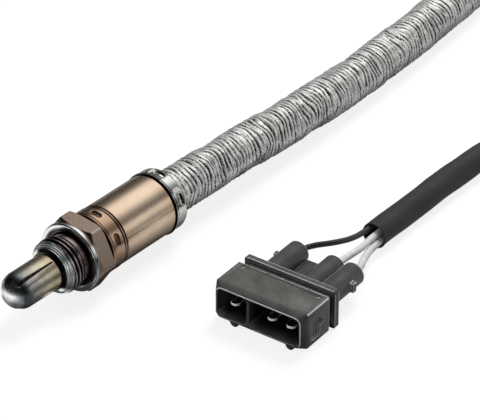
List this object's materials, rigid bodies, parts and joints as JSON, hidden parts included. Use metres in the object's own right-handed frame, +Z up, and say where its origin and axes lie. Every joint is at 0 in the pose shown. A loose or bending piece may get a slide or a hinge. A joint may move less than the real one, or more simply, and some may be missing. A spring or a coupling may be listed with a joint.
{
  "type": "heated oxygen sensor",
  "caption": "Screw-in heated exhaust oxygen sensor with slotted tip, hexagon, crimped sleeve, silver heat-shield hose, black cable sleeve, leads and a flat plug.",
  "frame": {"origin": "on the sensor's axis, at the end of the mounting thread next to its seat", "axes": "+X along the sensor's axis from the closed tip to the cable, +Z up from the surface it lies on, +Y across, away from the plug"},
  "size_m": [0.3443, 0.1101, 0.023],
  "materials": {
    "heat_tinted_steel": "satin, tempered blue-black at the closed end and straw towards the thread",
    "shell_steel": "satin plated steel with dark thread flanks",
    "gasket_steel": "polished rim",
    "bronze_tinted_steel": "satin with a warm bronze tint, darker towards the hexagon",
    "ring_steel": "polished, with a bright front lip",
    "white_ceramic": "matte fired ceramic",
    "contact_metal": "satin nickel",
    "silver_hose": "aluminised crinkled sleeve, fine irregular rings",
    "black_cable_sleeve": "matte woven sleeving with a coat",
    "black_rubber": "matte",
    "black_insulation": "satin",
    "white_insulation": "satin",
    "black_plastic": "moulded, fine matte",
    "plated_blade": "bright tin plate",
    "grey_seal": "matte"
  },
  "bodies": {
    "root": {"protective_tube": "heat_tinted_steel", "housing": "shell_steel", "seal_gasket": "gasket_steel", "thimble_seal_ring": "gasket_steel", "zirconia_thimble": "white_ceramic", "heater_rod": "white_ceramic", "signal_contact": "contact_metal", "ceramic_support_tube": "white_ceramic", "disc_spring": "contact_metal", "signal_terminal": "contact_metal", "heater_terminal_a": "contact_metal", "heater_terminal_b": "contact_metal", "lead_signal": "black_insulation", "lead_heater_a": "white_insulation", "lead_heater_b": "white_insulation", "cable_grommet": "black_rubber", "protective_sleeve": "bronze_tinted_steel", "clamp_ring": "ring_steel", "heat_shield_hose": "silver_hose", "hose_end_boot": "black_rubber", "cable_sleeve": "black_cable_sleeve", "wire_signal": "black_insulation", "wire_heater_a": "white_insulation", "wire_heater_b": "white_insulation", "connector_housing": "black_plastic", "connector_terminal_1": "plated_blade", "wire_seal_1": "grey_seal", "connector_terminal_2": "plated_blade", "wire_seal_2": "grey_seal", "connector_terminal_3": "plated_blade", "wire_seal_3": "grey_seal"}
  },
  "joints": []
}
